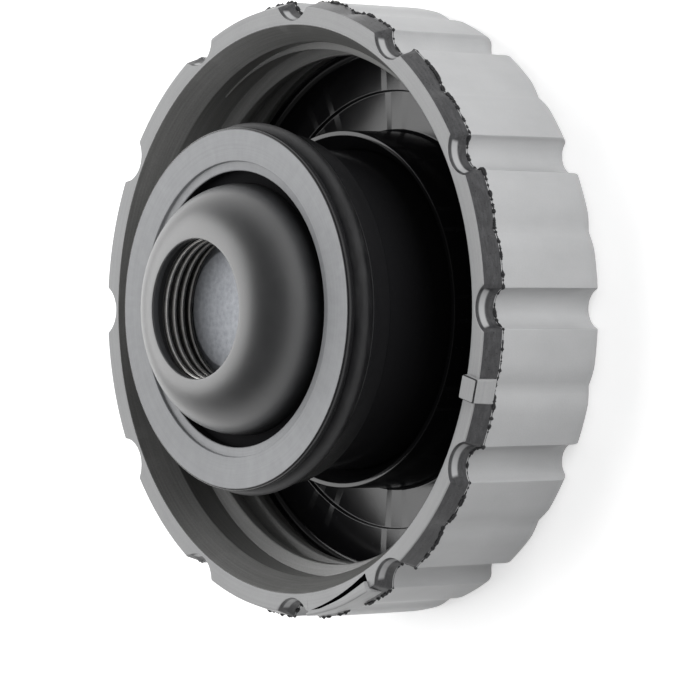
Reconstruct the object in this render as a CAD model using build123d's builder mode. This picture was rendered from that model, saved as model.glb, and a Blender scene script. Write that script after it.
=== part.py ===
from build123d import *
import os
from math import cos, radians, sin, sqrt, tan

os.makedirs("parts", exist_ok=True)

# Grip of the cap, in mm: the head lies on Z = 0 and the open end looks up
grip_radius = 32.0
rim_height = 13.9
grip_draft = 1.9
head_round = 1.7
head_thickness = 1.9
rim_bevel_width = 0.6
rim_bevel_rise = 2.0
rim_face_width = 1.9
flute_count = 12
flute_radius = 2.2
flute_depth = 1.55
cut_overrun = 1.3

# Screw side of the cap
thread_inset = 1.7
thread_depth = 1.3
thread_pitch = 3.3
thread_base_width = 2.1
thread_crest_width = 0.8
thread_bite = 0.5
thread_start_gap = 2.4
thread_end_gap = 1.64
funnel_depth = 4.55
ledge_width = 4.9
ledge_rise = 0.45
cove_radius = 1.0

# Clip collar in the cap and the swivelling stem in it
stem_radius = 16.6
stem_clearance = 0.12
collar_wall = 1.9
collar_height = 9.3
collar_funnel_width = 1.4
collar_funnel_height = 1.9
clip_bead_height = 0.5
clip_bead_width = 1.2
clip_bead_start = 3.6
clip_play = 0.1
stem_foot_gap = 0.3

# Small tab and tongue on the rim
tab_width = 2.7
tab_rise = 0.7
tab_angle = -105.5
tab_inset = 0.1
tongue_start = -175.0
tongue_end = -156.0
tongue_rise = 0.5
tongue_inset = 0.12
tongue_width = 1.2
tongue_taper = 0.35
tongue_root = 0.65
slot_depth = 1.4
slot_lip = 0.28
slot_taper = 0.15

# Valve housing
stem_wall = 1.4
rear_flange_width = 1.7
rear_flange_height = 17.4
rear_flange_thickness = 2.35
seal_section = 2.7
seal_side_play = 0.05
seal_bed_play = 0.02
nose_flange_width = 2.2
nose_thickness = 0.85
nose_round = 0.25
nose_step_width = 1.0
nose_step_depth = 0.35
seat_width = 0.9
seat_drop = 1.5
foot_vent_count = 4
foot_vent_width = 3.0
foot_vent_height = 0.6

# Spring seat clipped into the foot of the housing
cover_thickness = 1.0
cover_start = 3.1
cover_bite = 0.25
cover_play = 0.05
cover_hub_gap = 0.25
cover_hub_height = 1.8
cover_vent_count = 6
cover_vent_radius = 1.3
cover_vent_circle = 8.0

# Main spring
main_wire_radius = 1.15
main_spring_gap = 1.45
main_turns = 4.0
spring_play = 0.03
wire_sides = 6

# Poppet that holds the tank pressure
poppet_gap = 0.3
poppet_seal_thickness = 1.1
poppet_flange_thickness = 1.2
seat_gap = 0.02
poppet_skirt_length = 2.0
poppet_skirt_wall = 1.4
spring_guide_gap = 0.2
spigot_height = 1.5
spigot_gap = 0.5
bleed_notch_count = 6
bleed_notch_radius = 0.9
port_radius = 4.0
port_bead_width = 0.9
port_bead_height = 0.5

# Dome over the vacuum valve
dome_gap = 1.3
dome_round = 5.8
dome_wall = 1.5
dome_rise = 5.2
dome_lip_thickness = 0.8
dome_lip_width = 0.9
guide_wall = 0.9
guide_foot_gap = 1.6
skirt_play = 0.05

# Vacuum valve
plate_gap = 0.25
plate_thickness = 0.8
plate_seal_thickness = 0.85
plate_hat_gap = 0.85
plate_hat_height = 1.1
plate_edge_round = 0.25
plate_notch_count = 4
plate_notch_radius = 0.7
hat_plug_play = 0.05
vacuum_wire_radius = 0.3
vacuum_spring_gap = 0.35
vacuum_turns = 4.0

# Heights and radii that follow from the sizes above
head_radius = grip_radius - rim_height * tan(radians(grip_draft))
head_tangent = head_round * tan(radians((90 - grip_draft) / 2))
face_height = rim_height + rim_bevel_rise
face_radius = grip_radius - rim_bevel_width
mouth_radius = face_radius - rim_face_width
thread_root_radius = mouth_radius - thread_inset
thread_crest_radius = thread_root_radius - thread_depth
thread_foot_width = thread_base_width + (thread_base_width - thread_crest_width) * thread_bite / thread_depth
funnel_end = face_height - funnel_depth
funnel_slope = funnel_depth / (mouth_radius - thread_crest_radius)
funnel_root = face_height - thread_inset * funnel_slope
floor_height = head_thickness
ledge_radius = thread_root_radius - ledge_width
ledge_height = floor_height + ledge_rise
thread_start = ledge_height + thread_start_gap
thread_rise = funnel_root - thread_end_gap - thread_start
tongue_radius = grip_radius - tongue_inset
slot_radius = tongue_radius - tongue_width
slot_width = slot_radius - mouth_radius - slot_lip
collar_bore = stem_radius + stem_clearance
collar_radius = collar_bore + collar_wall
clip_bead_end = clip_bead_start + clip_bead_width
clip_bead_radius = stem_radius + clip_bead_height
stem_foot = floor_height + stem_foot_gap
housing_bore_radius = stem_radius - stem_wall
rear_flange_radius = stem_radius + rear_flange_width
nose_flange_radius = stem_radius + nose_flange_width
groove_start = rear_flange_height + rear_flange_thickness
groove_end = groove_start + seal_section + 2 * seal_side_play
groove_bed = stem_radius - seal_bed_play
seal_ring_radius = groove_bed + seal_bed_play + seal_section / 2
nose_height = groove_end + nose_thickness
nose_hole_radius = housing_bore_radius - seat_width
nose_step_radius = nose_hole_radius + nose_step_width
seat_height = nose_height - seat_drop
cover_end = cover_start + cover_thickness
poppet_top = seat_height - seat_gap - poppet_seal_thickness
poppet_bottom = poppet_top - poppet_flange_thickness
poppet_radius = housing_bore_radius - poppet_gap
main_coil_radius = housing_bore_radius - main_spring_gap - main_wire_radius
main_spring_low = cover_end + main_wire_radius + spring_play
main_spring_high = poppet_bottom - main_wire_radius - spring_play
cover_hub_radius = main_coil_radius - main_wire_radius - cover_hub_gap
skirt_radius = main_coil_radius - main_wire_radius - spring_guide_gap
dome_radius = nose_hole_radius - dome_gap
dome_height = nose_height + dome_rise
dome_bore = dome_radius - dome_wall
dome_centre_radius = dome_radius - dome_round
dome_centre_height = dome_height - dome_round
lip_underside = dome_height - dome_lip_thickness
guide_radius = dome_centre_radius + dome_lip_width
guide_outer = guide_radius + guide_wall
spigot_inner_radius = guide_outer + spigot_gap
dome_inner_round = dome_round - dome_wall
dome_crown = dome_centre_height + sqrt(dome_inner_round**2 - (guide_outer - dome_centre_radius) ** 2)
port_bead_top = poppet_top + port_bead_height
plate_seal_bottom = port_bead_top + seat_gap
plate_bottom = plate_seal_bottom + plate_seal_thickness
plate_top = plate_bottom + plate_thickness
plate_radius = guide_radius - plate_gap
vacuum_coil_radius = guide_radius - vacuum_spring_gap - vacuum_wire_radius
vacuum_spring_low = plate_top + vacuum_wire_radius + spring_play
vacuum_spring_high = lip_underside - vacuum_wire_radius - spring_play
plate_hat_radius = vacuum_coil_radius - vacuum_wire_radius - plate_hat_gap
hat_top = plate_top + plate_hat_height
hat_bore = plate_hat_radius - plate_thickness


# Outline of a wedge along the rim: outer radius and width at its thin end, then at its wide end
def rim_wedge(start_radius, start_width, end_radius, end_width):
    middle_radius = (start_radius + end_radius) / 2
    middle_width = (start_width + end_width) / 2
    places = (
        (start_radius, tongue_start),
        (middle_radius, (tongue_start + tongue_end) / 2),
        (end_radius, tongue_end),
        (end_radius - end_width, tongue_end),
        (middle_radius - middle_width, (tongue_start + tongue_end) / 2),
        (start_radius - start_width, tongue_start),
    )
    corners = [(r * cos(radians(a)), r * sin(radians(a))) for r, a in places]
    ThreePointArc(corners[0], corners[1], corners[2])
    Line(corners[2], corners[3])
    ThreePointArc(corners[3], corners[4], corners[5])
    Line(corners[5], corners[0])


# Cutter for one grip flute, which flares at the rim as the rim's bevel does
flute_axis_radius = grip_radius + flute_radius - flute_depth
flute_flare = flute_radius + rim_bevel_width
flute_reach = rim_height + head_round
flute_plane = Plane(
    origin=(flute_axis_radius, 0, rim_height),
    x_dir=(cos(radians(grip_draft)), 0, -sin(radians(grip_draft))),
    z_dir=(0, -1, 0),
)
with BuildPart() as flute_cutter:
    with BuildSketch(flute_plane):
        with BuildLine():
            Polyline(
                (0, -flute_reach),
                (flute_radius, -flute_reach),
                (flute_radius, 0),
                (flute_flare, rim_bevel_rise),
                (flute_flare, rim_bevel_rise + cut_overrun),
                (0, rim_bevel_rise + cut_overrun),
                close=True,
            )
        make_face()
    revolve(axis=Axis(flute_plane.origin, flute_plane.y_dir))

# Thread ridge, trimmed at its upper end by the lead-in funnel
with BuildPart() as thread_ridge:
    with BuildLine(Plane.XY.offset(thread_start)) as thread_path:
        Helix(thread_pitch, thread_rise, thread_root_radius)
    with BuildSketch(Plane(thread_path.line @ 0, x_dir=(-1, 0, 0), z_dir=thread_path.line % 0)):
        with BuildLine():
            Polyline(
                (-thread_bite, -thread_foot_width / 2),
                (thread_depth, -thread_crest_width / 2),
                (thread_depth, thread_crest_width / 2),
                (-thread_bite, thread_foot_width / 2),
                close=True,
            )
        make_face()
    sweep(path=thread_path.line, is_frenet=True)
    with BuildSketch(Plane.XZ):
        with BuildLine():
            Polyline(
                (0, funnel_end - thread_bite * funnel_slope),
                (thread_crest_radius - thread_bite, funnel_end - thread_bite * funnel_slope),
                (mouth_radius, face_height),
                (0, face_height),
                close=True,
            )
        make_face()
    revolve(axis=Axis.Z, mode=Mode.SUBTRACT)

# Cap shell: grip, thread and clip collar are one moulding
with BuildPart() as cap_shell:
    with BuildSketch(Plane.XZ):
        with BuildLine():
            head_edge = (head_radius - head_tangent, 0)
            grip_foot = (
                head_radius + head_tangent * sin(radians(grip_draft)),
                head_tangent * cos(radians(grip_draft)),
            )
            cove_top = (thread_root_radius, ledge_height + cove_radius)
            cove_foot = (thread_root_radius - cove_radius, ledge_height)
            TangentArc(head_edge, grip_foot, tangent=(1, 0))
            Polyline(
                grip_foot,
                (grip_radius, rim_height),
                (face_radius, face_height),
                (mouth_radius, face_height),
                (thread_root_radius, funnel_root),
                cove_top,
            )
            TangentArc(cove_top, cove_foot, tangent=(0, -1))
            Polyline(
                cove_foot,
                (ledge_radius, ledge_height),
                (ledge_radius, floor_height),
                (collar_radius, floor_height),
                (collar_radius, collar_height),
                (collar_bore + collar_funnel_width, collar_height),
                (collar_bore, collar_height - collar_funnel_height),
                (collar_bore, clip_bead_end + clip_play),
                (clip_bead_radius + clip_play, clip_bead_end + clip_play),
                (clip_bead_radius + clip_play, clip_bead_start - clip_play),
                (collar_bore, clip_bead_start - clip_play),
                (collar_bore, floor_height),
                (0, floor_height),
                (0, 0),
                head_edge,
            )
        make_face()
    revolve(axis=Axis.Z)
    with PolarLocations(0, flute_count):
        add(flute_cutter.part, mode=Mode.SUBTRACT)
    tab_plane = Plane.XY.offset(rim_height).rotated((0, 0, tab_angle))
    tab_length = grip_radius - mouth_radius - tab_inset
    with BuildSketch(tab_plane):
        with Locations((mouth_radius + tab_length / 2, 0)):
            Rectangle(tab_length, tab_width)
    extrude(amount=rim_bevel_rise + tab_rise)
    with BuildSketch(Plane.XY.offset(face_height - slot_depth)):
        with BuildLine():
            rim_wedge(tongue_radius - tongue_taper, slot_taper, slot_radius, slot_width)
        make_face()
    extrude(amount=slot_depth, mode=Mode.SUBTRACT)
    with BuildSketch(Plane.XY.offset(rim_height - tongue_root)):
        with BuildLine():
            rim_wedge(tongue_radius, tongue_taper, tongue_radius, tongue_width)
        make_face()
    extrude(amount=tongue_root + rim_bevel_rise + tongue_rise)
    add(thread_ridge.part)

cap_shell.part.label = "cap_shell"
export_step(cap_shell.part, "parts/cap_shell.step")

# Valve housing: stem, seal groove and nose ring
with BuildPart() as valve_housing:
    with BuildSketch(Plane.XZ):
        with BuildLine():
            nose_side = (nose_flange_radius, nose_height - nose_round)
            nose_rim = (nose_flange_radius - nose_round, nose_height)
            TangentArc(nose_side, nose_rim, tangent=(0, 1))
            Polyline(
                nose_rim,
                (nose_step_radius, nose_height),
                (nose_step_radius, nose_height - nose_step_depth),
                (nose_hole_radius, nose_height - nose_step_depth),
                (nose_hole_radius, seat_height),
                (housing_bore_radius, seat_height),
                (housing_bore_radius, cover_end + cover_play),
                (housing_bore_radius + cover_bite, cover_end + cover_play),
                (housing_bore_radius + cover_bite, cover_start - cover_play),
                (housing_bore_radius, cover_start - cover_play),
                (housing_bore_radius, stem_foot),
                (stem_radius, stem_foot),
                (stem_radius, clip_bead_start),
                (clip_bead_radius, clip_bead_start + clip_bead_height),
                (clip_bead_radius, clip_bead_end),
                (stem_radius, clip_bead_end),
                (stem_radius, rear_flange_height),
                (rear_flange_radius, rear_flange_height),
                (rear_flange_radius, groove_start),
                (groove_bed, groove_start),
                (groove_bed, groove_end),
                (nose_flange_radius, groove_end),
                nose_side,
            )
        make_face()
    revolve(axis=Axis.Z)
    with BuildSketch(Plane.XY.offset(stem_foot)):
        with PolarLocations((housing_bore_radius + stem_radius) / 2, foot_vent_count):
            Rectangle(stem_wall + 2 * cut_overrun, foot_vent_width)
    extrude(amount=foot_vent_height, mode=Mode.SUBTRACT)

valve_housing.part.label = "valve_housing"
export_step(valve_housing.part, "parts/valve_housing.step")

# Rubber ring that seals in the tank's neck
with BuildPart() as neck_seal_ring:
    with BuildSketch(Plane.XZ):
        with Locations((seal_ring_radius, (groove_start + groove_end) / 2)):
            Circle(seal_section / 2)
    revolve(axis=Axis.Z)

neck_seal_ring.part.label = "neck_seal_ring"
export_step(neck_seal_ring.part, "parts/neck_seal_ring.step")

# Seat of the main spring, clipped into the foot of the housing
with BuildPart() as housing_cover:
    with BuildSketch(Plane.XY.offset(cover_start)):
        Circle(housing_bore_radius + cover_bite - cover_play)
    extrude(amount=cover_thickness)
    with BuildSketch(Plane.XY.offset(cover_end)):
        Circle(cover_hub_radius)
    extrude(amount=cover_hub_height)
    with BuildSketch(Plane.XY.offset(cover_start)):
        with PolarLocations(cover_vent_circle, cover_vent_count):
            Circle(cover_vent_radius)
    extrude(amount=cover_thickness + cover_hub_height, mode=Mode.SUBTRACT)

housing_cover.part.label = "housing_cover"
export_step(housing_cover.part, "parts/housing_cover.step")

# Main spring, which holds the poppet on its seat
with BuildPart() as main_spring:
    with BuildLine(Plane.XY.offset(main_spring_low)) as main_path:
        main_rise = main_spring_high - main_spring_low
        Helix(main_rise / main_turns, main_rise, main_coil_radius)
    with BuildSketch(Plane(main_path.line @ 0, z_dir=main_path.line % 0)):
        RegularPolygon(main_wire_radius, wire_sides)
    sweep(path=main_path.line, is_frenet=True)

main_spring.part.label = "main_spring"
export_step(main_spring.part, "parts/main_spring.step")

# Poppet base with the port and seat of the vacuum valve
with BuildPart() as poppet_base:
    with BuildSketch(Plane.XZ):
        with BuildLine():
            Polyline(
                (port_radius, poppet_bottom),
                (skirt_radius - poppet_skirt_wall, poppet_bottom),
                (skirt_radius - poppet_skirt_wall, poppet_bottom - poppet_skirt_length),
                (skirt_radius, poppet_bottom - poppet_skirt_length),
                (skirt_radius, poppet_bottom),
                (poppet_radius, poppet_bottom),
                (poppet_radius, poppet_top),
                (dome_bore - skirt_play, poppet_top),
                (dome_bore - skirt_play, poppet_top + spigot_height),
                (spigot_inner_radius, poppet_top + spigot_height),
                (spigot_inner_radius, poppet_top),
                (port_radius + port_bead_width, poppet_top),
                (port_radius + port_bead_width, port_bead_top),
                (port_radius, port_bead_top),
                close=True,
            )
        make_face()
    revolve(axis=Axis.Z)
    with BuildSketch(Plane.XY.offset(poppet_bottom)):
        with PolarLocations(poppet_radius, bleed_notch_count):
            Circle(bleed_notch_radius)
    extrude(amount=poppet_flange_thickness, mode=Mode.SUBTRACT)

poppet_base.part.label = "poppet_base"
export_step(poppet_base.part, "parts/poppet_base.step")

# Rubber washer between the poppet and its seat
with BuildPart() as poppet_seal:
    with BuildSketch(Plane.XY.offset(poppet_top)):
        Circle(poppet_radius)
        Circle(dome_radius + skirt_play, mode=Mode.SUBTRACT)
    extrude(amount=poppet_seal_thickness)

poppet_seal.part.label = "poppet_seal"
export_step(poppet_seal.part, "parts/poppet_seal.step")

# Dome with the guide of the vacuum valve inside it
with BuildPart() as dome_cover:
    with BuildSketch(Plane.XZ):
        with BuildLine():
            Line((dome_bore, poppet_top), (dome_radius, poppet_top))
            Line((dome_radius, poppet_top), (dome_radius, dome_centre_height))
            RadiusArc((dome_radius, dome_centre_height), (dome_centre_radius, dome_height), -dome_round)
            Polyline(
                (dome_centre_radius, dome_height),
                (dome_centre_radius, lip_underside),
                (guide_radius, lip_underside),
                (guide_radius, poppet_top + guide_foot_gap),
                (guide_outer, poppet_top + guide_foot_gap),
                (guide_outer, dome_crown),
            )
            RadiusArc((guide_outer, dome_crown), (dome_bore, dome_centre_height), dome_inner_round)
            Line((dome_bore, dome_centre_height), (dome_bore, poppet_top))
        make_face()
    revolve(axis=Axis.Z)

dome_cover.part.label = "dome_cover"
export_step(dome_cover.part, "parts/dome_cover.step")

# Hat-shaped plate of the vacuum valve
with BuildPart() as vacuum_plate:
    with BuildSketch(Plane.XZ):
        with BuildLine():
            hat_side = (plate_hat_radius, hat_top - plate_edge_round)
            hat_rim = (plate_hat_radius - plate_edge_round, hat_top)
            TangentArc(hat_side, hat_rim, tangent=(0, 1))
            Polyline(
                hat_rim,
                (0, hat_top),
                (0, hat_top - plate_thickness),
                (hat_bore, hat_top - plate_thickness),
                (hat_bore, plate_bottom),
                (plate_radius, plate_bottom),
                (plate_radius, plate_top),
                (plate_hat_radius, plate_top),
                hat_side,
            )
        make_face()
    revolve(axis=Axis.Z)
    with BuildSketch(Plane.XY.offset(plate_bottom)):
        with PolarLocations(plate_radius, plate_notch_count):
            Circle(plate_notch_radius)
    extrude(amount=plate_thickness, mode=Mode.SUBTRACT)

vacuum_plate.part.label = "vacuum_plate"
export_step(vacuum_plate.part, "parts/vacuum_plate.step")

# Rubber disc under the vacuum plate, plugged into the hat
with BuildPart() as vacuum_seal:
    with BuildSketch(Plane.XY.offset(plate_seal_bottom)):
        Circle(plate_hat_radius)
    extrude(amount=plate_seal_thickness)
    with BuildSketch(Plane.XY.offset(plate_bottom)):
        Circle(hat_bore - hat_plug_play)
    extrude(amount=plate_hat_height - hat_plug_play)

vacuum_seal.part.label = "vacuum_seal"
export_step(vacuum_seal.part, "parts/vacuum_seal.step")

# Spring that holds the vacuum plate on its seat
with BuildPart() as vacuum_spring:
    with BuildLine(Plane.XY.offset(vacuum_spring_low)) as vacuum_path:
        vacuum_rise = vacuum_spring_high - vacuum_spring_low
        Helix(vacuum_rise / vacuum_turns, vacuum_rise, vacuum_coil_radius)
    with BuildSketch(Plane(vacuum_path.line @ 0, z_dir=vacuum_path.line % 0)):
        RegularPolygon(vacuum_wire_radius, wire_sides)
    sweep(path=vacuum_path.line, is_frenet=True)

vacuum_spring.part.label = "vacuum_spring"
export_step(vacuum_spring.part, "parts/vacuum_spring.step")
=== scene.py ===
import math
import bmesh
import bpy
from mathutils import Matrix, Vector, noise


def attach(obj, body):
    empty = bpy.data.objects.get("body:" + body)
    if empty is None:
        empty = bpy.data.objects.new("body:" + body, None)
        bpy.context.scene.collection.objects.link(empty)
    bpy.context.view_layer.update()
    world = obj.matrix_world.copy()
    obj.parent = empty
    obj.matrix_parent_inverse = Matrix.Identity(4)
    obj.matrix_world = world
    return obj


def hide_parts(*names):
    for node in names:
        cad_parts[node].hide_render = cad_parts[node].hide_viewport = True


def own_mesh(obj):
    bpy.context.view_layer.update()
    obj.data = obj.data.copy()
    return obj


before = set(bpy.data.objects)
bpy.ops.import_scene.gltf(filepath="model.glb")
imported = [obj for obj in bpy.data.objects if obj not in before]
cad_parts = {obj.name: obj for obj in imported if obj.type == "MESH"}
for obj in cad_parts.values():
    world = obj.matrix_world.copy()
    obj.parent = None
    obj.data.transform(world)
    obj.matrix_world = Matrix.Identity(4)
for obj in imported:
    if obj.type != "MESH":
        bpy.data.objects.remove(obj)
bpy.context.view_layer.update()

mm = 0.001  # the sizes below are in millimetres, as in the drawing
scene = bpy.context.scene
scene.view_settings.view_transform = "Standard"


# One socket of a node tree. Arithmetic on it adds Math nodes, add() makes any other node.
class Wire:
    def __init__(self, tree, socket=None):
        self.tree = tree
        self.socket = socket

    def add(self, kind, settings=None, sockets=None, out=0):
        node = self.tree.nodes.new(kind)
        for key, value in (settings or {}).items():
            setattr(node, key, value)
        for key, value in (sockets or {}).items():
            if isinstance(value, Wire):
                self.tree.links.new(value.socket, node.inputs[key])
            else:
                node.inputs[key].default_value = value
        return Wire(self.tree, node.outputs[out]) if len(node.outputs) else node

    def math(self, operation, *values):
        return self.add("ShaderNodeMath", {"operation": operation}, dict(enumerate(values)))

    def __add__(self, other):
        return self.math("ADD", self, other)

    def __radd__(self, other):
        return self.math("ADD", other, self)

    def __sub__(self, other):
        return self.math("SUBTRACT", self, other)

    def __rsub__(self, other):
        return self.math("SUBTRACT", other, self)

    def __mul__(self, other):
        return self.math("MULTIPLY", self, other)

    def __rmul__(self, other):
        return self.math("MULTIPLY", other, self)

    def __truediv__(self, other):
        return self.math("DIVIDE", self, other)

    def __rtruediv__(self, other):
        return self.math("DIVIDE", other, self)

    def __pow__(self, other):
        return self.math("POWER", self, other)

    def split(self):
        node = self.add("ShaderNodeSeparateXYZ", None, {0: self}).socket.node
        return [Wire(self.tree, output) for output in node.outputs]

    # 0 below low, 1 above high, smooth between
    def ramp(self, low, high):
        return self.add("ShaderNodeMapRange", {"interpolation_type": "SMOOTHSTEP"},
                        {"Value": self, "From Min": low, "From Max": high})

    # mixes two colours by this factor
    def tint(self, first, second):
        node = self.add("ShaderNodeMix", {"data_type": "RGBA"}, {0: self}, 2).socket.node
        for key, value in ((6, first), (7, second)):
            if isinstance(value, Wire):
                self.tree.links.new(value.socket, node.inputs[key])
            else:
                node.inputs[key].default_value = (*value, 1.0)
        return Wire(self.tree, node.outputs[2])


# Geometry Nodes helpers
def startTree(name, inputs):
    tree = bpy.data.node_groups.new(name, "GeometryNodeTree")
    tree.interface.new_socket(name="Geometry", in_out="INPUT", socket_type="NodeSocketGeometry")
    for label, kind in inputs.items():
        tree.interface.new_socket(name=label, in_out="INPUT", socket_type="NodeSocket" + kind)
    tree.interface.new_socket(name="Geometry", in_out="OUTPUT", socket_type="NodeSocketGeometry")
    node = tree.nodes.new("NodeGroupInput")
    return tree, {output.name: Wire(tree, output) for output in node.outputs if output.name}


def endTree(tree, shape, material):
    whole = shape.add("GeometryNodeRealizeInstances", None, {0: shape})
    dressed = whole.add("GeometryNodeSetMaterial", None, {"Geometry": whole, "Material": material})
    tree.links.new(dressed.socket, tree.nodes.new("NodeGroupOutput").inputs[0])


# turns what the modifiers give into a plain mesh
def freeze(obj):
    graph = bpy.context.evaluated_depsgraph_get()
    mesh = bpy.data.meshes.new_from_object(obj.evaluated_get(graph), preserve_all_data_layers=True, depsgraph=graph)
    obj.modifiers.clear()
    obj.data = mesh
    return obj


def runTree(obj, tree, values):
    modifier = obj.modifiers.new(tree.name, "NODES")
    modifier.node_group = tree
    for item in tree.interface.items_tree:
        if item.in_out == "INPUT" and item.name in values:
            modifier[item.identifier] = values[item.name]
    return freeze(obj)


def newObject(name, mesh):
    obj = bpy.data.objects.new(name, mesh)
    scene.collection.objects.link(obj)
    return obj


# one object from several, each keeping its own materials
def joinObjects(name, objects):
    bm = bmesh.new()
    materials = []
    for obj in objects:
        start = len(bm.faces)
        bm.from_mesh(obj.data)
        bm.faces.ensure_lookup_table()
        own = list(obj.data.materials)
        for face in bm.faces[start:]:
            material = own[face.material_index]
            if material not in materials:
                materials.append(material)
            face.material_index = materials.index(material)
    mesh = bpy.data.meshes.new(name)
    bm.to_mesh(mesh)
    bm.free()
    for material in materials:
        mesh.materials.append(material)
    for obj in objects:
        bpy.data.objects.remove(obj)
    return newObject(name, mesh)


# smooth faces, sharp corners kept, flat faces kept flat
def finishShading(obj, corner=38.0):
    obj.data.shade_smooth()
    obj.data.set_sharp_from_angle(angle=math.radians(corner))
    modifier = obj.modifiers.new("flat faces", "WEIGHTED_NORMAL")
    modifier.weight = 90
    modifier.keep_sharp = True
    return freeze(obj)


# rounds the corners of an outline: each corner is (radius, height, round)
def softOutline(corners, closed=True, steps=3):
    points = []
    count = len(corners)
    for k, (r, z, bend) in enumerate(corners):
        here = Vector((r, z))
        if bend <= 0 or (not closed and k in (0, count - 1)):
            points.append((r, z))
            continue
        back = Vector(corners[k - 1][:2]) - here
        ahead = Vector(corners[(k + 1) % count][:2]) - here
        room = 0.45 * min(back.length, ahead.length)
        back.normalize()
        ahead.normalize()
        half = back.angle(ahead) / 2
        reach = min(bend / math.tan(half), room)
        size = reach * math.tan(half)
        centre = here + (back + ahead).normalized() * size / math.sin(half)
        first = here + back * reach - centre
        last = here + ahead * reach - centre
        turn = first.angle_signed(last)
        for n in range(steps + 1):
            spot = centre + Matrix.Rotation(-turn * n / steps, 2) @ first
            points.append((spot.x, spot.y))
    return points


def evenAngles(count):
    return [2 * math.pi * k / count for k in range(count)]


# turns an outline around the axis; points on the axis become one pole
def lathe(name, outline, angles):
    bm = bmesh.new()
    rings = []
    for r, z in outline:
        spots = [(0.0, 0.0)] if r < 1e-6 else [(r * math.cos(a), r * math.sin(a)) for a in angles]
        rings.append([bm.verts.new((x * mm, y * mm, z * mm)) for x, y in spots])
    closeRings(bm, rings, len(angles))
    mesh = bpy.data.meshes.new(name)
    bm.to_mesh(mesh)
    bm.free()
    return newObject(name, mesh)


# faces between each ring and the next, the last one with the first; one list for each pair
def closeRings(bm, rings, count):
    bands = []
    for low, high in zip(rings, rings[1:] + rings[:1]):
        bands.append([])
        for k in range(count):
            n = (k + 1) % count
            around = (low[k % len(low)], low[n % len(low)], high[n % len(high)], high[k % len(high)])
            corners = list(dict.fromkeys(around))
            if len(corners) > 2:
                bands[-1].append(bm.faces.new(corners))
    bmesh.ops.recalc_face_normals(bm, faces=bm.faces)
    return bands


# Materials
def startMaterial(name):
    material = bpy.data.materials.new(name)
    material.use_nodes = True
    tree = material.node_tree
    tree.nodes.clear()
    root = Wire(tree)
    place = root.add("ShaderNodeTexCoord", None, None, "Object")
    millis = root.add("ShaderNodeVectorMath", {"operation": "SCALE"}, {0: place, "Scale": 1000.0})
    return material, root, millis


def endMaterial(root, sockets):
    shader = root.add("ShaderNodeBsdfPrincipled", None, sockets)
    root.add("ShaderNodeOutputMaterial", None, {"Surface": shader})


def noiseAt(millis, scale, detail=2.0, rough=0.5):
    return millis.add("ShaderNodeTexNoise", None,
                      {"Vector": millis, "Scale": scale, "Detail": detail, "Roughness": rough})


def stretch(millis, scale):
    return millis.add("ShaderNodeMapping", None, {"Vector": millis, "Scale": scale})


def bumpFrom(height, strength, depth):
    return height.add("ShaderNodeBump", None,
                      {"Height": height, "Strength": strength, "Distance": depth * mm}, "Normal")


# radius and height about the cap's axis, and a vector (radius, angle, height) for marks that follow the turn
def polar(millis):
    x, y, z = millis.split()
    r = (x * x + y * y) ** 0.5
    around = millis.add("ShaderNodeCombineXYZ", None, {0: r, 1: millis.math("ARCTAN2", y, x), 2: z})
    return r, z, around


# 1 for what the camera sees, straight or in a mirror or through glass
def seenRays(root):
    path = root.add("ShaderNodeLightPath").socket.node
    rays = [Wire(root.tree, path.outputs[name]) for name in ("Is Camera Ray", "Is Glossy Ray", "Is Transmission Ray")]
    return root.math("MAXIMUM", root.math("MAXIMUM", rays[0], rays[1]), rays[2])


# land and landPale are painted sheen: greys that stand for the light on the black plastic's lands
gripLook = {"land": (0.370, 0.373, 0.378), "landPale": (0.440, 0.443, 0.448),
            "grip": 32.0, "parting": 13.9, "slope": 0.0332, "sunk": (0.10, 0.40), "head": (1.2, 2.2)}


# satin outside of the grip, smoother in the flutes; its grey colour is painted sheen, for the plastic is black
def makeGripSkin(look):
    material, root, millis = startMaterial("gripSkin")
    r, z, around = polar(millis)
    sunk = look["grip"] - (look["parting"] - z) * look["slope"] - r       # how deep a point lies under the lands
    flute = sunk.ramp(*look["sunk"]) * z.ramp(*look["head"])
    fine = noiseAt(millis, 6.5, 3.0, 0.6)
    cloud = noiseAt(millis, 0.22, 4.0, 0.55)
    drawn = noiseAt(stretch(around, (1.5, 14.0, 0.10)), 1.0, 3.0, 0.6)   # faint ejection marks along the grip
    tone = (cloud * 0.45 + drawn * 0.30 + fine * 0.30 - 0.05).ramp(0.15, 0.85)
    colour = tone.tint(look["land"], look["landPale"])
    roughness = 0.40 + fine * 0.12 - flute * 0.12
    height = fine * (1.0 - flute * 0.7) + drawn * 0.5
    endMaterial(root, {"Base Color": colour, "Roughness": roughness, "Specular IOR Level": 0.45,
                       "Normal": bumpFrom(height, 0.32, 0.05)})
    return material


# the rim face's greys are painted sheen: the plastic is black, and these greys stand for the light on its face
rimLook = {"face": (0.265, 0.267, 0.271), "facePale": (0.350, 0.352, 0.356)}


def makeRimFace(look):
    material, root, millis = startMaterial("rimFace")
    around = polar(millis)[2]
    rings = noiseAt(stretch(around, (9.0, 1.2, 2.0)), 1.0, 3.0, 0.6)     # marks around the rim's face
    fine = noiseAt(millis, 6.5, 3.0, 0.6)
    cloud = noiseAt(millis, 0.3, 4.0, 0.55)
    tone = (rings * 0.5 + fine * 0.3 + cloud * 0.3 - 0.05).ramp(0.2, 0.8)
    colour = tone.tint(look["face"], look["facePale"])
    endMaterial(root, {"Base Color": colour, "Roughness": 0.38 + fine * 0.12, "Specular IOR Level": 0.45,
                       "Normal": bumpFrom(rings * 0.5 + fine * 0.5, 0.25, 0.04)})
    return material


bevelLook = {"wall": (0.022, 0.022, 0.024), "wallPale": (0.060, 0.060, 0.063), "notch": (0.380, 0.383, 0.388),
             "notch radius": (30.85, 31.20), "notch low": (14.70, 14.95), "notch high": (15.35, 15.55)}
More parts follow.
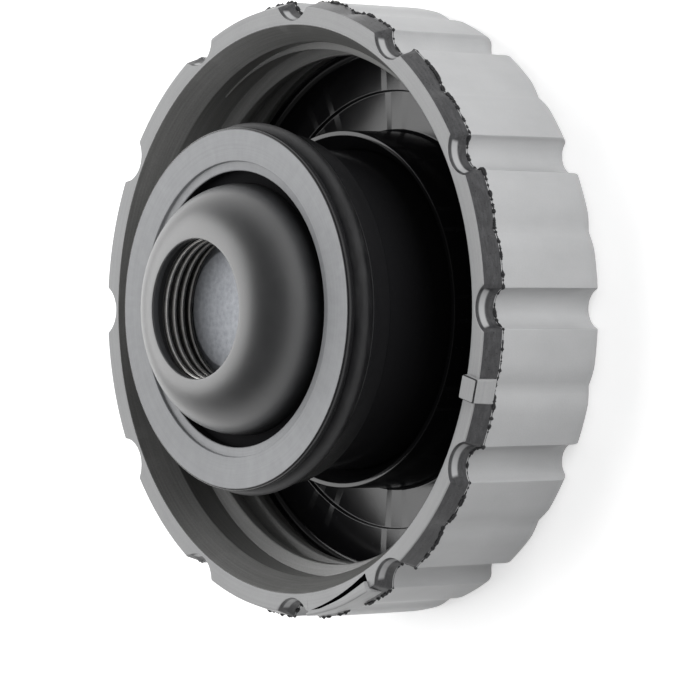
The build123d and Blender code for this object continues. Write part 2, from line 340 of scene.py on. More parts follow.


# dark wall between the parting edge and the rim's face, paler in the middle of each notch, where the pale is painted
# sheen
def makeRimBevel(look):
    material, root, millis = startMaterial("rimBevel")
    r, z, around = polar(millis)
    notch = (1.0 - r.ramp(*look["notch radius"])) * z.ramp(*look["notch low"]) * (1.0 - z.ramp(*look["notch high"]))
    streak = noiseAt(stretch(around, (2.0, 26.0, 3.0)), 1.0, 3.0, 0.6)
    fine = noiseAt(millis, 6.0, 3.0, 0.6)
    wall = (streak * 0.7 + fine * 0.3).ramp(0.35, 0.80).tint(look["wall"], look["wallPale"])
    endMaterial(root, {"Base Color": notch.tint(wall, look["notch"]), "Roughness": 0.24 + fine * 0.10,
                       "Specular IOR Level": 0.40, "Normal": bumpFrom(fine * 0.5 + streak * 0.5, 0.25, 0.04)})
    return material


def makeInsideGloss():
    material, root, millis = startMaterial("insideGloss")
    fine = noiseAt(millis, 5.0, 3.0, 0.6)
    cloud = noiseAt(millis, 0.35, 3.0, 0.5)
    dust = noiseAt(millis, 3.1, 2.0, 0.5).ramp(0.66, 0.76)
    colour = (dust * 0.6).tint((0.008, 0.008, 0.009), (0.030, 0.030, 0.032))
    endMaterial(root, {"Base Color": colour, "Roughness": 0.13 + cloud * 0.08, "Specular IOR Level": 0.45,
                       "Normal": bumpFrom(fine * 0.4 + cloud * 0.6, 0.10, 0.04)})
    return material


# the funnel and the thread keep the mould's satin; their grey colour is painted sheen on the black plastic
def makeInsideSatinPaintedSheen():
    material, root, millis = startMaterial("insideSatinPaintedSheen")
    around = polar(millis)[2]
    swept = noiseAt(stretch(around, (2.0, 2.5, 6.0)), 1.0, 3.0, 0.6)      # marks that follow the turn of the core
    fine = noiseAt(millis, 6.0, 3.0, 0.6)
    colour = (swept * 0.6 + fine * 0.4).ramp(0.25, 0.8).tint((0.125, 0.125, 0.122), (0.215, 0.215, 0.210))
    endMaterial(root, {"Base Color": colour, "Roughness": 0.28 + fine * 0.10, "Specular IOR Level": 0.55,
                       "Normal": bumpFrom(swept * 0.5 + fine * 0.5, 0.18, 0.04)})
    return material


def makeFlashPlastic():
    material, root, millis = startMaterial("flashPlastic")
    grain = noiseAt(millis, 9.0, 3.0, 0.6)
    colour = grain.ramp(0.35, 0.75).tint((0.008, 0.008, 0.009), (0.050, 0.050, 0.052))
    endMaterial(root, {"Base Color": colour, "Roughness": 0.45 + grain * 0.2, "Specular IOR Level": 0.3,
                       "Normal": bumpFrom(grain, 0.4, 0.05)})
    return material


# ring and ringPale are painted sheen on the nose's flat; the stem keeps the plastic's own black
noseLook = {"ring": (0.255, 0.260, 0.271), "ringPale": (0.350, 0.356, 0.368), "stem": (0.010, 0.010, 0.011),
            "stemPale": (0.030, 0.030, 0.032), "ring height": (22.9, 23.02), "ring inner": (14.1, 14.2),
            "ring outer": (18.48, 18.62)}


def makeHousingPlastic(look):
    material, root, millis = startMaterial("housingPlastic")
    r, z, around = polar(millis)
    flat = z.ramp(*look["ring height"]) * r.ramp(*look["ring inner"])
    ring = flat * (1.0 - r.ramp(*look["ring outer"]))                     # only the nose's flat is pale: painted sheen
    turned = noiseAt(stretch(around, (11.0, 0.9, 1.0)), 1.0, 4.0, 0.65)   # marks left around the ring
    rays = noiseAt(stretch(around, (0.5, 22.0, 1.0)), 1.0, 3.0, 0.6)      # short rubs across it
    fine = noiseAt(millis, 7.0, 3.0, 0.6)
    scuff = noiseAt(millis, 0.55, 4.0, 0.6)
    paintedSheenRingTone = (turned * 0.5 + rays * 0.25 + scuff * 0.35 - 0.05).ramp(0.25, 0.80).tint(look["ring"], look["ringPale"])
    stemTone = (fine.ramp(0.55, 0.8) * 0.4).tint(look["stem"], look["stemPale"])
    colour = ring.tint(stemTone, paintedSheenRingTone)
    roughness = 0.16 + scuff * 0.08 + ring * (0.24 + turned * 0.12)
    height = fine * 0.4 + turned * ring * 0.6 + rays * ring * 0.3
    endMaterial(root, {"Base Color": colour, "Roughness": roughness, "Specular IOR Level": 0.45,
                       "Normal": bumpFrom(height, 0.22, 0.04)})
    return material


def makeDomePlastic():
    material, root, millis = startMaterial("domePlastic")
    fine = noiseAt(millis, 8.0, 3.0, 0.6)
    cloud = noiseAt(millis, 0.5, 4.0, 0.55)
    dust = noiseAt(millis, 4.2, 2.0, 0.5).ramp(0.64, 0.74)
    colour = (cloud * 0.7 + dust * 0.3).ramp(0.2, 0.9).tint((0.014, 0.0145, 0.0155), (0.030, 0.0305, 0.032))
    endMaterial(root, {"Base Color": colour, "Roughness": 0.38 + cloud * 0.08 + fine * 0.05, "Specular IOR Level": 1.0,
                       "Coat Weight": 0.8, "Coat Roughness": 0.34, "Normal": bumpFrom(fine, 0.16, 0.04)})
    return material


def makeInnerPlastic():
    material, root, millis = startMaterial("innerPlastic")
    fine = noiseAt(millis, 6.0, 3.0, 0.6)
    cloud = noiseAt(millis, 0.4, 3.0, 0.5)
    colour = (cloud * 0.6 + fine * 0.3).ramp(0.2, 0.8).tint((0.020, 0.020, 0.021), (0.045, 0.045, 0.047))
    endMaterial(root, {"Base Color": colour, "Roughness": 0.38 + fine * 0.12, "Specular IOR Level": 0.4,
                       "Normal": bumpFrom(fine, 0.2, 0.04)})
    return material


def makeSealRubber():
    material, root, millis = startMaterial("sealRubber")
    around = polar(millis)[2]
    fine = noiseAt(millis, 9.0, 3.0, 0.65)
    bloom = noiseAt(stretch(around, (1.0, 6.0, 1.6)), 1.0, 4.0, 0.6)       # pale bloom of the rubber
    colour = (bloom * 0.8 + fine * 0.2).ramp(0.35, 0.85).tint((0.009, 0.009, 0.010), (0.030, 0.030, 0.031))
    endMaterial(root, {"Base Color": colour, "Roughness": 0.40 + bloom * 0.15, "Specular IOR Level": 0.4,
                       "Normal": bumpFrom(fine, 0.25, 0.03)})
    return material


# matt black washer under the dome's rim
def makeWasherRubber():
    material, root, millis = startMaterial("washerRubber")
    fine = noiseAt(millis, 8.0, 3.0, 0.6)
    colour = fine.ramp(0.3, 0.8).tint((0.004, 0.004, 0.005), (0.012, 0.012, 0.013))
    endMaterial(root, {"Base Color": colour, "Roughness": 0.75 + fine * 0.2, "Specular IOR Level": 0.1,
                       "Normal": bumpFrom(fine, 0.3, 0.03)})
    return material


def makeSpringSteel():
    material, root, millis = startMaterial("springSteel")
    around = polar(millis)[2]
    drawn = noiseAt(stretch(around, (16.0, 2.0, 16.0)), 1.0, 3.0, 0.6)     # lines left by the drawing die
    stain = noiseAt(millis, 0.8, 3.0, 0.5)
    colour = (drawn * 0.6 + stain * 0.4).ramp(0.25, 0.75).tint((0.50, 0.49, 0.47), (0.78, 0.77, 0.75))
    endMaterial(root, {"Base Color": colour, "Roughness": 0.22 + drawn * 0.14, "Metallic": 1.0,
                       "Normal": bumpFrom(drawn, 0.15, 0.02)})
    return material


def makePlateSteel():
    material, root, millis = startMaterial("plateSteel")
    fine = noiseAt(millis, 7.0, 4.0, 0.7)
    spots = noiseAt(millis, 2.2, 3.0, 0.6)
    flakes = millis.add("ShaderNodeTexVoronoi", None, {"Vector": millis, "Scale": 1.6}, "Distance")
    tone = (fine * 0.45 + spots * 0.45 + flakes * 0.25 - 0.05).ramp(0.28, 0.78)
    colour = tone.tint((0.290, 0.305, 0.335), (0.450, 0.465, 0.495))
    endMaterial(root, {"Base Color": colour, "Roughness": 0.46 + spots * 0.14, "Metallic": 0.35,
                       "Normal": bumpFrom(fine * 0.6 + spots * 0.4, 0.25, 0.04)})
    return material


gripSkin = makeGripSkin(gripLook)
rimFace = makeRimFace(rimLook)
rimBevel = makeRimBevel(bevelLook)
insideGloss = makeInsideGloss()
insideSatinPaintedSheen = makeInsideSatinPaintedSheen()
flashPlastic = makeFlashPlastic()
housingPlastic = makeHousingPlastic(noseLook)
domePlastic = makeDomePlastic()
innerPlastic = makeInnerPlastic()
sealRubber = makeSealRubber()
washerRubber = makeWasherRubber()
springSteel = makeSpringSteel()
plateSteel = makePlateSteel()
print("materials made")


# Cap shell: the turned form with its slot, then a tree that presses the flutes into its outside
shell = {
    "grip": 32.0, "head": 31.539, "head round": 1.7, "draft": 1.9, "parting": 13.9, "face": 15.9, "face edge": 31.4,
    "mouth": 29.5, "root": 27.8, "crest": 26.5, "funnel root": 13.322, "funnel end": 11.35, "cove": 1.0,
    "ledge": 22.9, "ledge height": 2.35, "floor": 1.9,
    "collar": 18.62, "collar top": 9.3, "collar mouth": 18.12, "bore": 16.72, "bore lip": 7.4,
    "bead": 17.2, "bead low": 3.5, "bead high": 4.9,
    "flutes": 12, "flute": 2.2, "flare": 2.8, "flute axis": 32.65, "flute edge": 0.14,
    "slot start": -175.0, "slot end": -156.0, "slot depth": 1.4,
    "slot thin": (31.38, 31.53), "slot wide": (29.78, 30.68), "slot lean": 0.04, "slot columns": 22,
    "wall rows": (3.2, 5.6, 8.0, 10.4, 12.6, 13.5), "root rows": (10.6, 8.4, 6.2, 4.4), "hub": 8.0, "head hub": 15.0,
}


# dense columns at the flutes' edges and the slot's ends
def shellAngles(part):
    offsets = [0.0, 0.45, 0.9, 1.35, 1.8, 2.2, 2.55, 2.85, 3.1, 3.3, 3.46, 3.6, 3.72, 3.84, 3.97, 4.1, 4.24, 4.4, 4.6,
               4.95, 5.6, 6.6, 7.8, 9.0, 10.2, 11.4, 12.6, 13.8, 15.0]
    step = 360.0 / part["flutes"]
    found = {0.0}
    for k in range(part["flutes"]):
        for offset in offsets:
            found.add(round((k * step + offset) % 360.0, 4))
            found.add(round((k * step - offset) % 360.0, 4))
    first, last = part["slot start"] % 360.0, part["slot end"] % 360.0
    keep = [a for a in found if not first - 0.3 < a < last + 0.3]
    count = part["slot columns"]
    keep += [first - 0.06, last + 0.06] + [first + (last - first) * k / count for k in range(count + 1)]
    return sorted(math.radians(a) for a in keep)


zones = {"skin": 0.0, "face": 1.0, "bevel": 2.0, "inside": 3.0, "funnel": 4.0}


# each row: radius, height, pull of the flutes, radius of the edge that they pull, zone up to the next row, slot row
def shellRows(part):
    draft = math.radians(part["draft"])
    foot = part["head round"] * math.tan((math.pi / 2 - draft) / 2)
    rows = []

    def run(corners, pull, names):
        inner = softOutline(corners, closed=False)[1:-1]
        each = len(inner) // len(names)
        for k, (r, z) in enumerate(inner):
            rows.append((r, z, pull, r, names[k // each], None))

    rows.append((part["head"] - foot - 2.0, 0.0, 0.0, 0.0, "skin", None))
    centre = (part["head"] - foot, part["head round"])
    for k in range(8):
        turn = -math.pi / 2 + (math.pi / 2 - draft) * k / 7
        r, z = centre[0] + part["head round"] * math.cos(turn), centre[1] + part["head round"] * math.sin(turn)
        wall = part["grip"] - (part["parting"] - z) * math.tan(draft)
        rows.append((r, z, 1.0, wall, "skin", None))       # the round follows the flutes
    for z in part["wall rows"]:
        r = part["grip"] - (part["parting"] - z) * math.tan(draft)
        rows.append((r, z, 1.0, r, "skin", None))
    run([(part["grip"] - 0.01, 13.6, 0), (part["grip"], part["parting"], 0.12), (part["face edge"], part["face"], 0.12),
         (part["mouth"], part["face"], 0)], 1.0, ["bevel", "face"])
    width = part["face edge"] - part["mouth"]
    for tag, share in (("outer top", 0.80), ("outer foot", 0.62), ("inner foot", 0.42), ("inner top", 0.24)):
        rows.append((part["mouth"] + width * share, part["face"], share, part["face edge"], "face", tag))
    run([(part["mouth"] + 0.4, part["face"], 0), (part["mouth"], part["face"], 0.10),
         (part["root"], part["funnel root"], 0.35), (part["root"], 8.0, 0)], 0.0, ["inside"] + ["funnel"] * 7)
    for z in part["root rows"]:
        rows.append((part["root"], z, 0.0, 0.0, "funnel", None))
    for k in range(7):
        turn = math.pi / 2 * k / 6
        rows.append((part["root"] - part["cove"] * (1 - math.cos(turn)),
                     part["ledge height"] + part["cove"] * (1 - math.sin(turn)), 0.0, 0.0, "inside", None))
    run([(part["root"] - part["cove"] - 0.3, part["ledge height"], 0), (part["ledge"], part["ledge height"], 0.12),
         (part["ledge"], part["floor"], 0.12), (part["collar"], part["floor"], 0.3),
         (part["collar"], part["collar top"], 0.12),
         (part["collar mouth"], part["collar top"], 0.10), (part["bore"], part["bore lip"], 0.25),
         (part["bore"], part["bead high"], 0.05), (part["bead"], part["bead high"], 0.05),
         (part["bead"], part["bead low"], 0.05), (part["bore"], part["bead low"], 0.05),
         (part["bore"], part["floor"], 0.15), (part["hub"], part["floor"], 0)], 0.0, ["inside"])
    for r, z, name in ((part["hub"], part["floor"], "inside"), (0.0, part["floor"], "inside"),
                       (0.0, 0.0, "skin"), (part["head hub"], 0.0, "skin")):
        rows.append((r, z, 0.0, 0.0, name, None))
    return rows


def shellBase(part):
    angles = shellAngles(part)
    first, last = math.radians(part["slot start"] % 360.0), math.radians(part["slot end"] % 360.0)
    bm = bmesh.new()
    pull = bm.verts.layers.float.new("pull")
    edge = bm.verts.layers.float.new("edgeRadius")
    zone = bm.faces.layers.float.new("zone")
    rings = []
    rows = shellRows(part)
    for r, z, amount, reach, name, tag in rows:
        ring = []
        for a in [0.0] if r < 1e-6 else angles:
            spot, height = r, z
            if tag and first - 1e-6 < a < last + 1e-6:
                share = (a - first) / (last - first)
                side = 1 if "outer" in tag else 0
                spot = part["slot thin"][side] * (1 - share) + part["slot wide"][side] * share
                if "foot" in tag:
                    spot += -part["slot lean"] if side else part["slot lean"]
                    height -= part["slot depth"]
            vert = bm.verts.new((spot * math.cos(a) * mm, spot * math.sin(a) * mm, height * mm))
            vert[pull] = amount
            vert[edge] = reach * mm
            ring.append(vert)
        rings.append(ring)
    for k, faces in enumerate(closeRings(bm, rings, len(angles))):
        for face in faces:
            sunk = rows[k][5] and min(vert.co.z for vert in face.verts) < (part["face"] - 0.2) * mm
            face[zone] = zones["inside" if sunk else rows[k][4]]
    mesh = bpy.data.meshes.new("cap_shell_form")
    bm.to_mesh(mesh)
    bm.free()
    return newObject("cap_shell_form", mesh)


# radius of the nearest flute's wall at a point: the flute is a leaning cylinder that flares above the parting edge
def fluteWall(inputs, angle, z):
    step = 2 * math.pi / inputs["Flutes"]
    local = angle - (angle / step).math("ROUND", angle / step) * step
    above = z - inputs["Parting"]
    axis = inputs["Axis Radius"] + above * inputs["Draft Slope"]
    flare = angle.add("ShaderNodeClamp", None, {0: above / (inputs["Face"] - inputs["Parting"])})
    size = inputs["Flute Radius"] + flare * (inputs["Flare Radius"] - inputs["Flute Radius"])
    side = axis * local.math("SINE", local)
    depth = (size * size - side * side).math("MAXIMUM", size * size - side * side, 0.0)
    return axis * local.math("COSINE", local) - depth ** 0.5


fluteInputs = {"Flutes": "Float", "Flute Radius": "Float", "Flare Radius": "Float", "Axis Radius": "Float",
               "Draft Slope": "Float", "Parting": "Float", "Face": "Float", "Edge Round": "Float"}
fluteValues = {"Flutes": float(shell["flutes"]), "Flute Radius": shell["flute"] * mm,
               "Flare Radius": shell["flare"] * mm, "Axis Radius": shell["flute axis"] * mm,
               "Draft Slope": math.tan(math.radians(shell["draft"])), "Parting": shell["parting"] * mm,
               "Face": shell["face"] * mm, "Edge Round": shell["flute edge"] * mm}


def fluteTree():
    tree, inputs = startTree("pressed flutes", {**fluteInputs, **{name: "Material" for name in zones}})
    root = inputs["Geometry"]
    x, y, z = root.add("GeometryNodeInputPosition").split()
    r = (x * x + y * y) ** 0.5
    wall = fluteWall(inputs, root.math("ARCTAN2", y, x), z)
    pull = root.add("GeometryNodeInputNamedAttribute", {"data_type": "FLOAT"}, {"Name": "pull"})
    edge = root.add("GeometryNodeInputNamedAttribute", {"data_type": "FLOAT"}, {"Name": "edgeRadius"})
    pressed = r - pull * (edge - root.math("SMOOTH_MIN", edge, wall, inputs["Edge Round"]))
    scale = pressed / r.math("MAXIMUM", r, 1e-6)
    place = root.add("ShaderNodeCombineXYZ", None, {0: x * scale, 1: y * scale, 2: z})
    shape = root.add("GeometryNodeSetPosition", None, {"Geometry": root, "Position": place})
    zone = root.add("GeometryNodeInputNamedAttribute", {"data_type": "FLOAT"}, {"Name": "zone"})
    whole = root.add("GeometryNodeRealizeInstances", None, {0: shape})
    for name, number in zones.items():
        chosen = zone.math("COMPARE", zone, number, 0.2)
        whole = root.add("GeometryNodeSetMaterial", None,
                         {"Geometry": whole, "Selection": chosen, "Material": inputs[name]})
    tree.links.new(whole.socket, tree.nodes.new("NodeGroupOutput").inputs[0])
    return tree


# Thread: a rounded ridge along a helix, faded at its ends and trimmed by the lead-in funnel
thread = {"start": 4.75, "rise": 6.932, "pitch": 3.3, "depth": 1.3, "bite": 0.5, "foot": 2.60, "crest": 0.8,
          "corner": 0.22, "fade": 0.09}


def threadTree():
    tree, inputs = startTree("thread ridge", {"Root": "Float", "Rise": "Float", "Turns": "Float", "Start": "Float",
                                              "Depth": "Float", "Bite": "Float", "Foot": "Float", "Crest": "Float",
                                              "Corner": "Float", "Fade": "Float", "Funnel Radius": "Float",
                                              "Funnel End": "Float", "Funnel Slope": "Float", "Material": "Material"})
    root = inputs["Geometry"]
    helix = root.add("GeometryNodeCurveSpiral", None,
                     {"Resolution": 190, "Rotations": inputs["Turns"], "Start Radius": inputs["Root"],
                      "End Radius": inputs["Root"], "Height": inputs["Rise"], "Reverse": True})
    helix = root.add("GeometryNodeSetCurveNormal", {"mode": "Z_UP"}, {"Curve": helix})
    corners = {}
    tip = inputs["Depth"] * -1.0
    for k, (x, y) in enumerate(((tip, inputs["Crest"] * -0.5), (tip, inputs["Crest"] * 0.5),
                                (inputs["Bite"], inputs["Foot"] * 0.5), (inputs["Bite"], inputs["Foot"] * -0.5))):
        corners["Point %d" % (k + 1)] = root.add("ShaderNodeCombineXYZ", None, {0: x, 1: y})
    profile = root.add("GeometryNodeCurvePrimitiveQuadrilateral", {"mode": "POINTS"}, corners)
    profile = root.add("GeometryNodeFilletCurve", {"mode": "POLY"},
                       {"Curve": profile, "Count": 3, "Radius": inputs["Corner"], "Limit Radius": True})
    along = root.add("GeometryNodeSplineParameter", None, None, "Factor")
    near = along.math("MINIMUM", along, 1.0 - along)
    fade = root.add("ShaderNodeMapRange", {"interpolation_type": "SMOOTHSTEP"},
                    {"Value": near, "From Min": 0.0, "From Max": inputs["Fade"], "To Min": 0.10, "To Max": 1.0})
    ridge = root.add("GeometryNodeCurveToMesh", None,
                     {"Curve": helix, "Profile Curve": profile, "Scale": fade, "Fill Caps": True})
    x, y, z = root.add("GeometryNodeInputPosition").split()
    z = z + inputs["Start"]
    r = (x * x + y * y) ** 0.5
    cone = inputs["Funnel Radius"] + (z - inputs["Funnel End"]) * inputs["Funnel Slope"]
    scale = r.math("MAXIMUM", r, cone) / r
    place = root.add("ShaderNodeCombineXYZ", None, {0: x * scale, 1: y * scale, 2: z})
    shape = root.add("GeometryNodeSetPosition", None, {"Geometry": ridge, "Position": place})
    endTree(tree, shape, inputs["Material"])
    return tree


# Flash: the thin torn line of plastic that the two halves of the mould leave along the parting edge
flash = {"points": 3000, "size": 0.17, "lift": -0.16, "ragged": 0.95, "seed": 4.0}


def flashTree():
    tree, inputs = startTree("parting flash", {**fluteInputs, "Grip": "Float", "Points": "Int", "Size": "Float",
                                               "Lift": "Float", "Ragged": "Float", "Seed": "Float",
                                               "Material": "Material"})
    root = inputs["Geometry"]
    line = root.add("GeometryNodeCurvePrimitiveCircle", {"mode": "RADIUS"},
                    {"Resolution": inputs["Points"], "Radius": inputs["Grip"]})
    x, y, z = root.add("GeometryNodeInputPosition").split()
    angle = root.math("ARCTAN2", y, x)
    wall = fluteWall(inputs, angle, inputs["Parting"])
    r = root.math("SMOOTH_MIN", inputs["Grip"], wall, inputs["Edge Round"])
    place = root.add("ShaderNodeCombineXYZ", None,
                     {0: root.math("COSINE", angle) * r, 1: root.math("SINE", angle) * r,
                      2: inputs["Parting"] + inputs["Lift"]})
    line = root.add("GeometryNodeSetPosition", None, {"Geometry": line, "Position": place})
    spot = root.add("GeometryNodeInputPosition")
    coarse = root.add("ShaderNodeTexNoise", {"noise_dimensions": "4D"},
                      {"Vector": spot, "W": inputs["Seed"], "Scale": 520.0, "Detail": 1.0})
    torn = root.add("ShaderNodeTexNoise", {"noise_dimensions": "4D"},
                    {"Vector": spot, "W": inputs["Seed"] + 7.0, "Scale": 2100.0, "Detail": 2.0})
    amount = root.add("ShaderNodeMapRange", {"interpolation_type": "LINEAR"},
                      {"Value": coarse * 0.35 + torn * 0.65, "From Min": 0.44, "From Max": 0.58,
                       "To Min": 0.08, "To Max": 1.0})
    size = inputs["Size"] * (1.0 - inputs["Ragged"] + inputs["Ragged"] * 1.6 * amount)
    section = root.add("GeometryNodeCurvePrimitiveCircle", {"mode": "RADIUS"}, {"Resolution": 5, "Radius": 1.0})
    line = root.add("GeometryNodeSetCurveNormal", {"mode": "Z_UP"}, {"Curve": line})
    ribbon = root.add("GeometryNodeCurveToMesh", None,
                      {"Curve": line, "Profile Curve": section, "Scale": size, "Fill Caps": True})
    endTree(tree, ribbon, inputs["Material"])
    return tree


# Tab and tongue on the rim, with soft edges
rimTab = {"angle": -105.5, "width": 2.7, "inner": 29.5, "outer": 31.9, "low": 13.9, "high": 16.6, "round": 0.16,
          "lean": 0.10, "fall": 0.025, "levels": ((0.0, 0.0), (0.93, 0.0), (0.975, 0.03), (0.994, 0.09), (1.0, 0.16)),
          "dark bands": (1, 2)}
rimTongue = {"start": -175.0, "end": -156.0, "outer": 31.88, "thin": 0.35, "wide": 1.2, "low": 13.25, "high": 16.4,
             "round": 0.13, "foot round": 0.02, "wave": 0.10, "waves": 5.0, "droop": 0.25, "stations": 40}


def loopsToMesh(name, loops, darkBands=()):
    bm = bmesh.new()
    rings = [[bm.verts.new(Vector(spot) * mm) for spot in loop] for loop in loops]
    for band, (low, high) in enumerate(zip(rings, rings[1:])):
        for k in range(len(low)):
            n = (k + 1) % len(low)
            face = bm.faces.new((low[k], low[n], high[n], high[k]))
            face.material_index = 1 if band in darkBands else 0
    bm.faces.new(rings[0])
    bm.faces.new(rings[-1])
    bmesh.ops.recalc_face_normals(bm, faces=bm.faces)
    mesh = bpy.data.meshes.new(name)
    bm.to_mesh(mesh)
    bm.free()
    mesh.materials.append(rimFace)
    mesh.materials.append(flashPlastic)
    return newObject(name, mesh)


def makeTab(part):
    half = part["width"] / 2
    outline = softOutline([(part["inner"], -half, part["round"]), (part["outer"], -half, part["round"]),
                           (part["outer"], half, part["round"]), (part["inner"], half, part["round"])])
    turn = math.radians(part["angle"])
    loops = []
    # the sides lean in towards the top, whose edge is rounded
    for share, inset in part["levels"]:
        loop = []
        for r, side in outline:
            lean = part["lean"] * share + inset
            r = r + lean * (0.5 if r < (part["inner"] + part["outer"]) / 2 else -1.0)
            side = side * (1 - lean / half)
            z = part["low"] + (part["high"] - part["low"]) * share - part["fall"] * share * (r - part["inner"])
            loop.append((r * math.cos(turn) - side * math.sin(turn), r * math.sin(turn) + side * math.cos(turn), z))
        loops.append(loop)
    return loopsToMesh("rim_tab_form", loops, part["dark bands"])        # the edge round its top is dark: painted shade beside the painted sheen of its faces


def makeTongue(part):
    loops = []
    for k in range(part["stations"] + 1):
        share = k / part["stations"]
        a = math.radians(part["start"] + (part["end"] - part["start"]) * share)
        width = part["thin"] + (part["wide"] - part["thin"]) * share
        wave = part["wave"] * noise.noise((share * part["waves"], 1.7, 0.3))
        high = part["high"] + wave - part["droop"] * (1 - share) ** 3
        inner, outer = part["outer"] - width, part["outer"]
        section = softOutline([(inner, part["low"], part["foot round"]), (outer, part["low"], part["foot round"]),
                               (outer, high, part["round"]), (inner, high, part["round"])])
        loops.append([(r * math.cos(a), r * math.sin(a), z) for r, z in section])
    return loopsToMesh("rim_tongue_form", loops)


form = runTree(shellBase(shell), fluteTree(), {**fluteValues, "skin": gripSkin, "face": rimFace, "bevel": rimBevel,
                                               "inside": insideGloss, "funnel": insideSatinPaintedSheen})
ridge = runTree(newObject("thread_form", bpy.data.meshes.new("thread_form")), threadTree(), {
    "Root": shell["root"] * mm, "Rise": thread["rise"] * mm, "Turns": thread["rise"] / thread["pitch"],
    "Start": thread["start"] * mm, "Depth": thread["depth"] * mm, "Bite": thread["bite"] * mm,
    "Foot": thread["foot"] * mm, "Crest": thread["crest"] * mm, "Corner": thread["corner"] * mm, "Fade": thread["fade"],
    "Funnel Radius": shell["crest"] * mm, "Funnel End": shell["funnel end"] * mm,
    "Funnel Slope": (shell["mouth"] - shell["crest"]) / (shell["face"] - shell["funnel end"]), "Material": insideSatinPaintedSheen})
burr = runTree(newObject("flash_form", bpy.data.meshes.new("flash_form")), flashTree(), {
    **fluteValues, "Grip": shell["grip"] * mm, "Points": flash["points"], "Size": flash["size"] * mm,
    "Lift": flash["lift"] * mm, "Ragged": flash["ragged"], "Seed": flash["seed"], "Material": flashPlastic})
capShell = finishShading(joinObjects("capShell", [form, ridge, makeTab(rimTab), makeTongue(rimTongue), burr]))
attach(capShell, "shell")
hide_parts("cap_shell")
print("cap shell:", len(capShell.data.polygons), "faces")


# Valve housing, seal ring and dome are turned forms with soft edges
housing = {
    "nose": 18.8, "nose top": 23.4, "nose foot": 22.55, "step": 15.3, "step height": 23.05, "hole": 14.3, "seat": 21.9,
    "bore": 15.2, "cover high": 4.15, "cover low": 3.05, "cover": 15.45, "foot": 2.2, "stem": 16.6,
    "bead": 17.1, "bead low": 3.6, "bead mid": 4.1, "bead high": 4.8, "flange": 18.3, "flange foot": 17.4,
    "groove foot": 19.75, "bed": 16.58, "columns": 288,
    "vents": 4, "vent width": 3.0, "vent height": 0.6,
}


def makeHousing(part):
    outline = softOutline([
        (part["nose"], part["nose top"], 0.25), (part["step"], part["nose top"], 0.10),
        (part["step"], part["step height"], 0.06), (part["hole"], part["step height"], 0.14),
        (part["hole"], part["seat"], 0.08), (part["bore"], part["seat"], 0.08),
        (part["bore"], part["cover high"], 0.03), (part["cover"], part["cover high"], 0.03),
        (part["cover"], part["cover low"], 0.03), (part["bore"], part["cover low"], 0.03),
        (part["bore"], part["foot"], 0.1), (part["stem"], part["foot"], 0.1),
        (part["stem"], part["bead low"], 0.05), (part["bead"], part["bead mid"], 0.08),
        (part["bead"], part["bead high"], 0.05), (part["stem"], part["bead high"], 0.05),
        (part["stem"], part["flange foot"], 0.2), (part["flange"], part["flange foot"], 0.18),
        (part["flange"], part["groove foot"], 0.12), (part["bed"], part["groove foot"], 0.1),
        (part["bed"], part["nose foot"], 0.1), (part["nose"], part["nose foot"], 0.10)])
    obj = lathe("valveHousing", outline, evenAngles(part["columns"]))
    # vents in the foot: the ring's lower corners lift over each vent
    for vert in obj.data.vertices:
        x, y, z = (value / mm for value in vert.co)
        if z < part["foot"] + 0.2:
            angle = math.atan2(y, x)
            step = 2 * math.pi / part["vents"]
            local = angle - round(angle / step) * step
            if abs(math.hypot(x, y) * math.sin(local)) < part["vent width"] / 2:
                vert.co.z += part["vent height"] * mm
    obj.data.materials.append(housingPlastic)
    return finishShading(obj)


valveHousing = makeHousing(housing)
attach(valveHousing, "insert")
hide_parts("valve_housing")

sealRing = {"radius": 17.95, "height": 21.15, "section": 1.35, "seam": 0.05, "columns": 220, "sides": 40}


# rubber ring with the fine seam of its mould around the outside
def makeSealRing(part):
    outline = []
    for k in range(part["sides"]):
        turn = 2 * math.pi * k / part["sides"]
        size = part["section"] - part["seam"] + part["seam"] * math.exp(-(math.sin(turn) / 0.10) ** 2)
        outline.append((part["radius"] + size * math.cos(turn), part["height"] + size * math.sin(turn)))
    obj = lathe("neckSealRing", outline, evenAngles(part["columns"]))
    obj.data.materials.append(sealRubber)
    return finishShading(obj, 60.0)


neckSealRing = makeSealRing(sealRing)
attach(neckSealRing, "insert")
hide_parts("neck_seal_ring")

dome = {"radius": 13.0, "bore": 11.5, "round": 5.8, "centre": 7.2, "centre height": 22.8, "top": 28.6, "foot": 20.78,
        "lip": 27.8, "guide": 8.1, "guide outer": 9.0, "guide foot": 22.38, "wall": 1.5, "columns": 240}


def makeDome(part):
    def arc(size, turns):
        r, z = part["centre"], part["centre height"]
        return [(r + size * math.cos(turn), z + size * math.sin(turn)) for turn in turns]

    crown = arc(part["round"], [math.pi / 2 * k / 24 for k in range(24)])
    size = part["round"] - part["wall"]
    steep = math.acos((part["guide outer"] - part["centre"]) / size)
    inner = arc(size, [steep * (8 - k) / 8 for k in range(9)])
    # the hole's edge turns over softly into the lip
    edge = softOutline([crown[-1] + (0,), (part["centre"], part["top"], 0.30), (part["centre"], part["lip"], 0.12),
                        (part["guide"], part["lip"], 0.08), (part["guide"], part["guide foot"], 0.12),
                        (part["guide outer"], part["guide foot"], 0.12), inner[0] + (0,)], closed=False, steps=5)
    foot = softOutline([inner[-1] + (0,), (part["bore"], part["foot"], 0.12), (part["radius"], part["foot"], 0.12),
                        crown[0] + (0,)], closed=False)
    obj = lathe("domeCover", crown + edge[1:] + inner[1:] + foot[1:-1], evenAngles(part["columns"]))
    obj.data.materials.append(domePlastic)
    return finishShading(obj)


domeCover = makeDome(dome)
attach(domeCover, "poppet")
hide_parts("dome_cover")
print("housing, ring and dome made")


